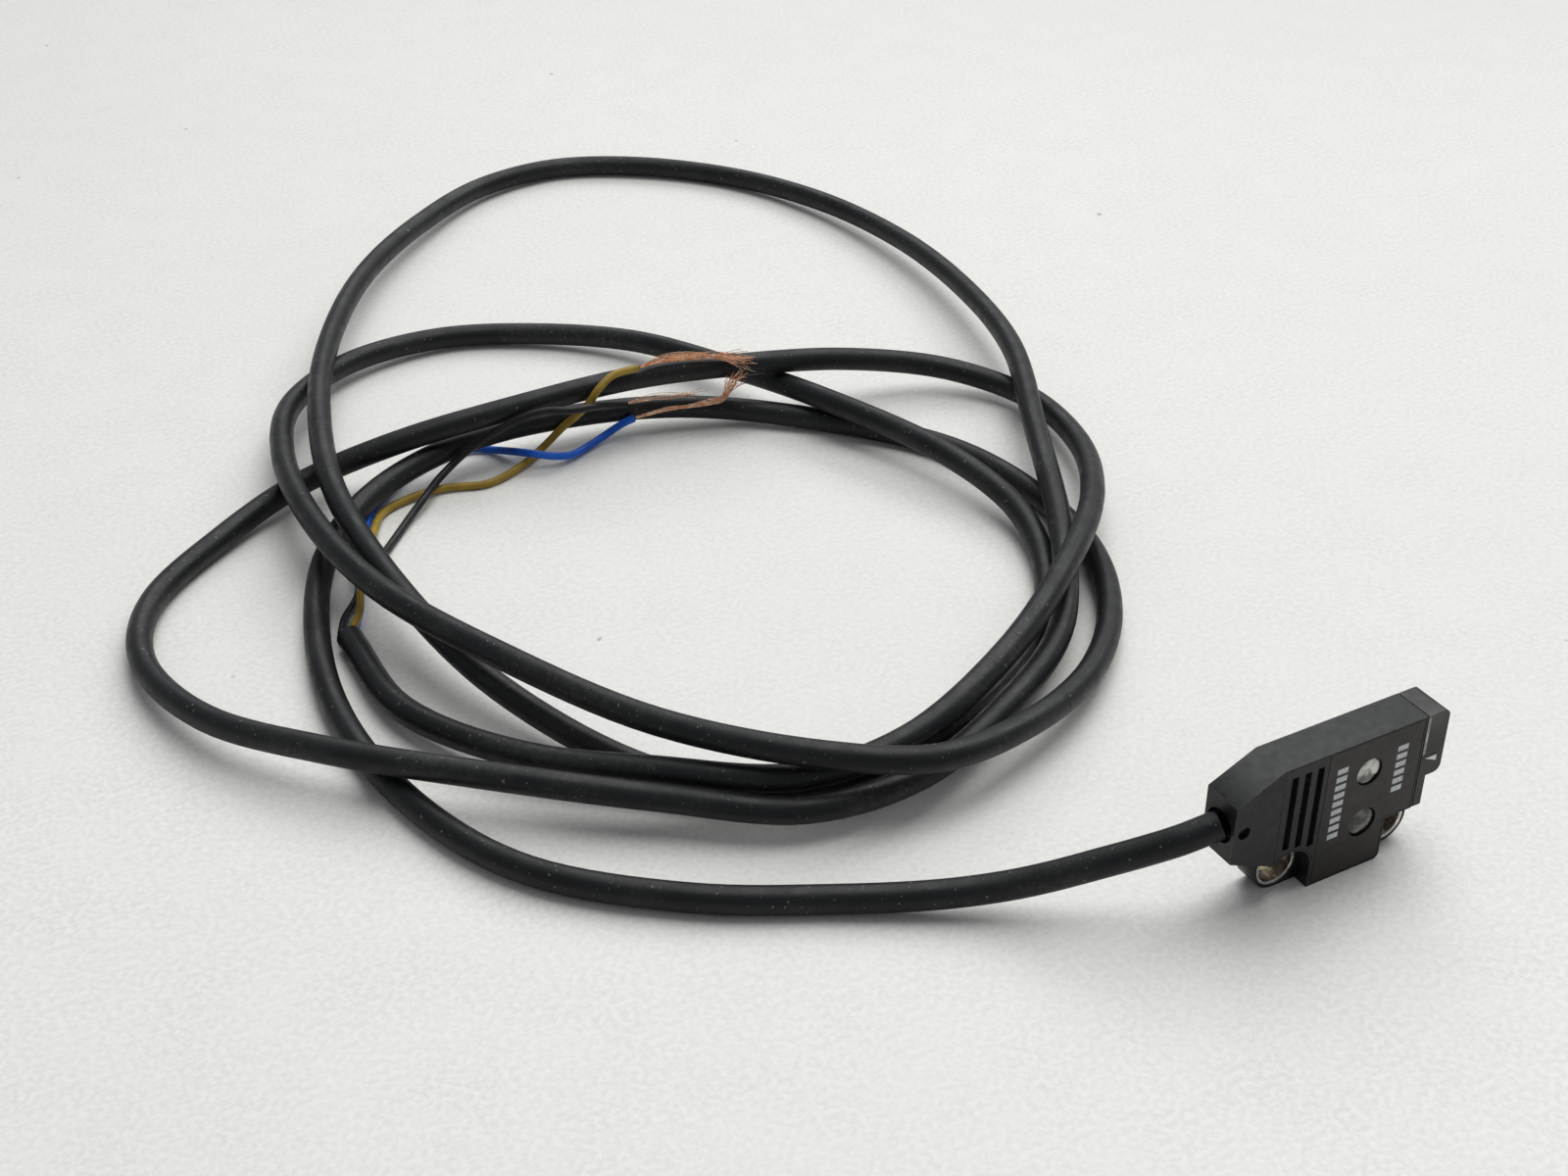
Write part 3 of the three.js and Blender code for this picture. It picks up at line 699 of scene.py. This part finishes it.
# ---- the stripped cores ----------------------------------------------------
# Each has two routes, for its insulation and for the copper that sticks out of it. Then come
# how many copper wires it has, how far they splay at the end and how tightly they lie.
CORES = {
    "brown": {
        "insulation": [
            (-55.6, 66.3, 1.6), (-54.2, 68, 2.2), (-53, 70.7, 2.8), (-50.8, 75.6, 2.3),
            (-47.5, 82.3, 0.9), (-45.2, 85.8, 0.5), (-41.5, 87.1, 0.5), (-38, 87.1, 0.5),
            (-34, 86, 0.4), (-29.7, 87.4, 0.5), (-26.4, 89.3, 0.8), (-24.3, 88.9, 2.7),
            (-23, 87.7, 4.5), (-22.3, 86.2, 6.4), (-21.4, 85.9, 7.8), (-19.3, 86.6, 8.6),
            (-16.6, 86.4, 8.8),
        ],
        "copper": [
            (-16.3, 86.4, 8.8), (-14.5, 86.7, 8.8), (-11.8, 86.3, 8.7), (-9.2, 85.6, 8.5),
            (-6.9, 84.7, 8.1), (-4.7, 83.7, 7.4),
        ],
        "wires": 34, "splay": 1.1, "tightness": 0.25,
    },
    "blue": {
        "insulation": [
            (-56, 66.3, 0.7), (-54.6, 68.3, 0.5), (-53, 72, 0.5), (-49.4, 80.6, 0.5),
            (-45.8, 87, 0.5), (-41, 91, 0.5), (-37.5, 92.7, 0.5), (-32.7, 93, 0.5),
            (-30.7, 91.6, 0.5), (-29.4, 89.3, 1.1), (-28.3, 87.2, 1.6), (-26.4, 86.4, 1.2),
            (-24.5, 86.6, 0.7), (-22, 87.7, 0.5), (-19.6, 88.5, 0.8), (-17.9, 88.2, 1.7),
            (-16.7, 87.7, 2.3),
        ],
        "copper": [
            (-16.5, 87.6, 2.4), (-15.4, 86.9, 2.8), (-13.6, 86.6, 3), (-11, 86, 3),
            (-9.4, 85.4, 3.2), (-7.9, 84.9, 3.5), (-7.3, 84.3, 4.8), (-6.8, 83.9, 5.9),
            (-6.1, 83.4, 6.6),
        ],
        "wires": 30, "splay": 0.9, "tightness": 0.85,
    },
    "black": {
        "insulation": [
            (-56.6, 66.3, 1.5), (-55.4, 68.6, 1.5), (-53.5, 70.8, 1.6), (-51.7, 73.7, 1.5),
            (-49.7, 76.3, 1.1), (-47.1, 79.5, 0.5), (-43.3, 83.4, 0.7), (-41.2, 85, 1.3),
            (-38.9, 87.2, 1.5), (-37, 88.2, 2.1), (-35.4, 88.3, 3.1), (-33.8, 88.3, 3.9),
            (-31.4, 87.3, 5.5), (-29.4, 86.7, 6.4), (-27.1, 85.9, 6.9), (-25, 84.8, 6.9),
            (-23, 84.6, 6.8), (-20.3, 86.2, 5.5), (-17.5, 88, 4),
        ],
        "copper": [
            (-17.2, 88.1, 4), (-15, 88, 4), (-13.1, 87.6, 3.9), (-11.1, 87, 3.9),
            (-9.3, 86.4, 3.9),
        ],
        "wires": 8, "splay": 0.8, "tightness": 0.0,
    },
}

WIRE_RADIUS = 0.032
WIRE_STEPS = 7
SHORTEST_WIRE = 0.86  # of its route
BUNDLE_RADIUS = 0.3
STRAY = 0.45
TWIST = 2.5  # radians from end to end
TWIST_WHEN_TIGHT = 9  # more radians
SPLAY_FROM = 0.55  # of the way along
SPLAY_RATE = 5
CURL_FROM = 0.7  # of the way along


def wire_line(dice, route, splay, tightness):
    """A wire that twists along a route, strays from it a little and splays at its end.

    A tightness of 1 is a bundle without strays, and 0 is a loose one.
    """
    angle = dice.uniform(0, 2 * math.pi)
    reach = math.sqrt(dice.random()) * BUNDLE_RADIUS
    stop = dice.uniform(SHORTEST_WIRE, 1)
    stray = abs(dice.gauss(0, STRAY)) * (1 - tightness)
    belly = Vector((dice.uniform(-0.4, 0.4), dice.uniform(-0.7, 0.7), dice.uniform(-0.3, 1)))
    tip = Vector((dice.uniform(-1, 1), dice.uniform(-1, 1), dice.uniform(-0.6, 0.8)))
    curl = dice.uniform(-7, 7)
    middle = smooth_route(route, WIRE_STEPS)
    middle = middle[: max(4, int(len(middle) * stop))]
    line = []
    for i, spot in enumerate(middle):
        t = i / (len(middle) - 1)
        turn = angle + (TWIST + TWIST_WHEN_TIGHT * tightness) * t
        around = Vector((math.cos(turn), math.sin(turn) * 0.6, math.sin(turn) * 0.8))
        bend = tip * splay * max(0, t - SPLAY_FROM) ** 2 * SPLAY_RATE
        bend.rotate(Matrix.Rotation(curl * max(0, t - CURL_FROM), 3, "Z"))
        line.append(spot + around * reach * min(1, 0.4 + t) + bend
                    + belly * stray * math.sin(math.pi * t) * 1.3)
    return line


def add_cores(cut_end):
    """The cores from the cable's cut end, each with its bundle of fine copper wires."""
    for name, core in CORES.items():
        line = smooth_route(core["insulation"])
        slot = f"core_{name}"
        cover = finish_mesh(f"{slot}_insulation", tube(line, CORE / 2, sides=12), slot,
                            [slot])
        dice = random.Random(len(name))
        bundle = bmesh.new()
        for _ in range(core["wires"]):
            wire = wire_line(dice, core["copper"], core["splay"], core["tightness"])
            tube(wire, WIRE_RADIUS, sides=5, into=bundle)
        wires = finish_mesh(f"copper_{name}_strands", bundle, "copper", [f"copper_{name}"])


# ---- the housing -----------------------------------------------------------
REAR_AND_TOP = [(BODY_END, HEIGHT), (TAPER_TOP, HEIGHT), (0, END_TOP), (0, END_BOTTOM)]
BACK_OUTLINE = [
    *REAR_AND_TOP,
    *arc(REAR_EAR, EAR_HEIGHT, EAR_RADIUS, TAPER_MEETS_EAR, 270, 32),
    *arc(FRONT_EAR, EAR_HEIGHT, EAR_RADIUS, -90, FRONT_EAR_TOP, 32),
]


def face_outline(ear_steps, corner):
    """The head without its ears; corner is one point or a few beside the front recess."""
    return [
        *REAR_AND_TOP,
        *arc(REAR_EAR, EAR_HEIGHT, EAR_RADIUS, TAPER_MEETS_EAR, 0, ear_steps),
        (RECESS_LEFT, 0),
        *corner,
        (RECESS_RIGHT, RECESS_TOP),
        (BODY_END, RECESS_TOP),
    ]


FRONT_OUTLINE = face_outline(
    32, arc(RECESS_RIGHT - CORNER_RADIUS, CORNER_RADIUS, CORNER_RADIUS, -90, 0, 8))
CAVITY_OUTLINE = inset(face_outline(10, [(RECESS_RIGHT, 0)]), WALL)
BEYOND = 1.0  # how far a cutting tool passes the surface it opens
GATE_MARK_STATION = 1
GATE_MARK_RADIUS = 0.575


def stretch(start, end):
    """All of the head between two stations, and more on every other side."""
    return slab(start, end, -BEYOND, THICKNESS + BEYOND, -BEYOND, HEIGHT + BEYOND)


def add_housing():
    """The tray with its cavity, the cable's bore, a gate mark and the sleeves' seats."""
    pocket = carve(prism(inset(FRONT_OUTLINE, RIM), -BEYOND, LEDGE),
                   only=[stretch(PANEL_START - GAP, LENGTH)])
    cavity = carve(prism(CAVITY_OUTLINE, LEDGE - GAP / 2, FLOOR_DEPTH),
                   only=[stretch(CAVITY_START, LENGTH)])
    cable_bore = lengthwise(AXIS_HEIGHT, BORE / 2, -BEYOND, CAVITY_START + GAP)
    gate_mark = across(GATE_MARK_STATION, AXIS_HEIGHT, GATE_MARK_RADIUS, -BEYOND,
                       THICKNESS / 2, 32)
    seats = [across(ear, EAR_HEIGHT, SLEEVE_OUTER / 2 + GAP, EAR_DEPTH - GAP / 2,
                    THICKNESS + BEYOND)
             for ear in (REAR_EAR, FRONT_EAR)]
    shell = carve(
        prism(BACK_OUTLINE, EAR_DEPTH, THICKNESS),
        joins=[prism(FRONT_OUTLINE, 0, EAR_DEPTH + GAP)],
        cuts=[pocket, cavity, cable_bore, gate_mark, *seats],
        bevel=0.07,
    )
    finish_mesh("housing_moulding", shell, "housing", ["housing_shell"])


# ---- the face: grip panel and cover ----------------------------------------
GROOVE_DEPTH = 0.5
GROOVE_TOP = 12
GROOVE_WALL_LEAN = 0.1
GROOVES = [(5.05, 5.8, 4.9), (6.3, 7.05, 4.7), (7.55, 8.3, 4.3)]  # start, end, bottom

# Each tint is partly painted highlight: the operation window's near-white stands in for the light
# its dome catches, the stability window's grey for a fainter one.
WINDOWS = [
    {"name": "operation", "station": 13.1, "height": 9.6, "radius": 1.2,
     "tint_and_highlight": (0.95, 0.94, 0.86), "clearness": 0.2},
    {"name": "stability", "station": 13.2, "height": 4.6, "radius": 1.3,
     "tint_and_highlight": (0.3, 0.3, 0.285), "clearness": 0.5},
]
DOME_EDGE = 0.3
DOME_RISE = 0.28
DOME_STEPS = 10
FLANGE = 0.25
FLANGE_BACK = 0.75
PIPE_RADIUS = 0.7
PIPE_BACK = 0.84


def groove_tool(start, end, bottom):
    """Slopes down towards the front and ends in a steep wall."""
    section = [(start, -GAP), (end, -GAP), (end - GROOVE_WALL_LEAN, GROOVE_DEPTH)]
    return solid_between(*(
        [(REAR + station, FACE + depth, height) for station, depth in section]
        for height in (bottom, GROOVE_TOP)
    ))


def add_face_panels():
    """Two plates that fill the tray's pocket: the panel with grooves, the cover with holes."""
    outline = inset(FRONT_OUTLINE, RIM + GAP)
    panel = carve(prism(outline, 0, COVER),
                  joins=[prism(inset(CAVITY_OUTLINE, GAP), COVER - GAP, PANEL_DEPTH)],
                  only=[stretch(PANEL_START, PANEL_END)],
                  cuts=[groove_tool(*groove) for groove in GROOVES], bevel=0.03, segments=2)
    finish_mesh("grip_panel_moulding", panel, "housing", ["grip_panel"])
    holes = [across(window["station"], window["height"], window["radius"] + GAP,
                    -BEYOND, BEYOND)
             for window in WINDOWS]
    cover = carve(prism(outline, 0, COVER), only=[stretch(PANEL_END + GAP, LENGTH)],
                  cuts=holes, bevel=0.03, segments=2)
    finish_mesh("front_cover_moulding", cover, "smoked_cover", ["front_cover"])


def add_windows():
    """Domed windows, each with a flange behind the cover and a short light pipe."""
    for window in WINDOWS:
        name, radius = window["name"], window["radius"]
        dome = [(radius * math.cos(a), DOME_EDGE - DOME_RISE * math.sin(a))
                for a in (math.pi / 2 * i / DOME_STEPS for i in range(DOME_STEPS))]
        profile = [
            (0, DOME_EDGE - DOME_RISE), *reversed(dome),
            (radius, COVER + GAP), (radius + FLANGE, COVER + GAP), (radius + FLANGE, FLANGE_BACK),
            (PIPE_RADIUS, FLANGE_BACK), (PIPE_RADIUS, PIPE_BACK), (0, PIPE_BACK),
        ]
        node = f"{name}_indicator_window"
        place = (REAR + window["station"], FACE, window["height"])
        finish_mesh(f"{node}_lens", turned(profile, place, (0, 1, 0)), "window", [node],
                    clear(f"{name}_clear", window["tint_and_highlight"], window["clearness"]))


# ---- the optical block and the sleeves -------------------------------------
NOSE_END = 19.3
BLOCK_BOTTOM = 6.9
BLOCK_CORNER = 0.7
LENS_SEAT_DEPTH = 0.55
LENS_SEAT_RADIUS = 1.2
SLEEVE_CHAMFER = 0.1


def add_lens_block():
    """The block across the sensing end: a nose below, a slot, and a seat for each lens."""
    start = LENS_LOW.x - REAR
    outline = [
        (start, LENS_LOW.z),
        (NOSE_END, LENS_LOW.z),
        (NOSE_END, BLOCK_BOTTOM),
        *arc(LENGTH - BLOCK_CORNER, BLOCK_BOTTOM + BLOCK_CORNER, BLOCK_CORNER, -90, 0, 8),
        *arc(LENGTH - BLOCK_CORNER, HEIGHT - BLOCK_CORNER, BLOCK_CORNER, 0, 90, 8),
        (start, HEIGHT),
    ]
    shield_low, shield_high = box_mm("light_shield")
    slot = slab(shield_low.x - REAR - GAP, shield_high.x - REAR + GAP, -BEYOND,
                THICKNESS + BEYOND, shield_low.z - GAP, shield_high.z + GAP)
    seats = [lengthwise(height, LENS_SEAT_RADIUS, LENGTH - LENS_SEAT_DEPTH, LENGTH + BEYOND)
             for height in (EMITTER_HEIGHT, RECEIVER_HEIGHT)]
    block = carve(prism(outline, 0, THICKNESS), cuts=[slot, *seats], bevel=0.08)
    finish_mesh("lens_block_moulding", block, "lens", ["lens_block"])


def add_sleeves():
    """The metal sleeves in the ears, chamfered inside at both ends."""
    inner = SLEEVE_BORE / 2
    outer = SLEEVE_OUTER / 2
    profile = [
        (inner, EAR_DEPTH + SLEEVE_CHAMFER),
        (inner + SLEEVE_CHAMFER, EAR_DEPTH),
        (outer, EAR_DEPTH),
        (outer, THICKNESS),
        (inner + SLEEVE_CHAMFER, THICKNESS),
        (inner, THICKNESS - SLEEVE_CHAMFER),
    ]
    for name, station in (("rear", REAR_EAR), ("front", FRONT_EAR)):
        place = (REAR + station, FACE, EAR_HEIGHT)
        finish_mesh(f"{name}_sleeve_metal", turned(profile, place, (0, 1, 0), 96),
                    "sleeve_metal", [f"{name}_mounting_sleeve"],
                    plated(f"{name}_sleeve_plating", station), smooth_angle=30)


# ---- carried-over CAD nodes ------------------------------------------------
def dress_cad_nodes():
    """Every CAD node gets the material of its slot."""
    slots = {part["node"]: part["material_slot"] for part in frame["record"]["subparts"]}
    for name, node in frame["nodes"].items():
        node.data.materials.clear()
        node.data.materials.append(MATERIALS[slots[name]])


# ---- stage -----------------------------------------------------------------
FLOOR_REACH = 30  # metres
LIT_SPOT = Vector((0, 0.05, 0))  # metres


def add_floor():
    """A pale table with a fine grain and a few dark specks."""
    n = Nodes("table")
    cloud = n.cloudy(0.008, (0.79, 0.785, 0.745), (0.83, 0.825, 0.785))
    grain = n.times(n.spread(n.noise(1.9, 2), 0, 1), n.spread(n.noise(0.15), 0.65, 1))
    grainy = n.mix(grain, cloud, (0.72, 0.715, 0.68))
    specks = n.spread(n.noise(0.35, 1), 0, 0.7, 0.8, 0.83)
    n.link(n.mix(specks, grainy, (0.25, 0.24, 0.23)), n.shader.inputs["Base Color"])
    n.set(Roughness=0.55)
    n.bump(n.noise(0.9, 4), 0.02)
    bm = bmesh.new()
    bmesh.ops.create_grid(bm, x_segments=1, y_segments=1, size=FLOOR_REACH)
    table = as_object(bm, "table")
    table.data.materials.append(n.material)


def add_light(data, place):
    add_aimed(data, place, LIT_SPOT - Vector(place))


def add_lights():
    """Two broad windows beyond the object, a ceiling light over it and a pale room."""
    world = bpy.data.worlds.new("room")
    world.use_nodes = True
    background = world.node_tree.nodes["Background"]
    background.inputs["Color"].default_value = (0.93, 0.96, 1, 1)
    background.inputs["Strength"].default_value = 0.3
    bpy.context.scene.world = world
    for name, place, width, strength in (
        ("right_window", (0.87, 0.32, 0.75), 30, 0.77),
        ("back_window", (0.42, 0.82, 0.7), 36, 0.66),
    ):
        window = bpy.data.lights.new(name, "SUN")
        window.angle = math.radians(width)
        window.energy = strength
        add_light(window, place)
    ceiling = bpy.data.lights.new("ceiling_light", "AREA")
    ceiling.shape = "DISK"
    ceiling.size = 0.4
    ceiling.energy = 1.4
    add_light(ceiling, (0.09, 0.1, 0.5))
    bpy.context.scene.view_settings.view_transform = "Standard"


add_camera()
add_cores(add_cable())
add_housing()
add_face_panels()
add_windows()
add_lens_block()
add_sleeves()
dress_cad_nodes()
add_floor()
add_lights()
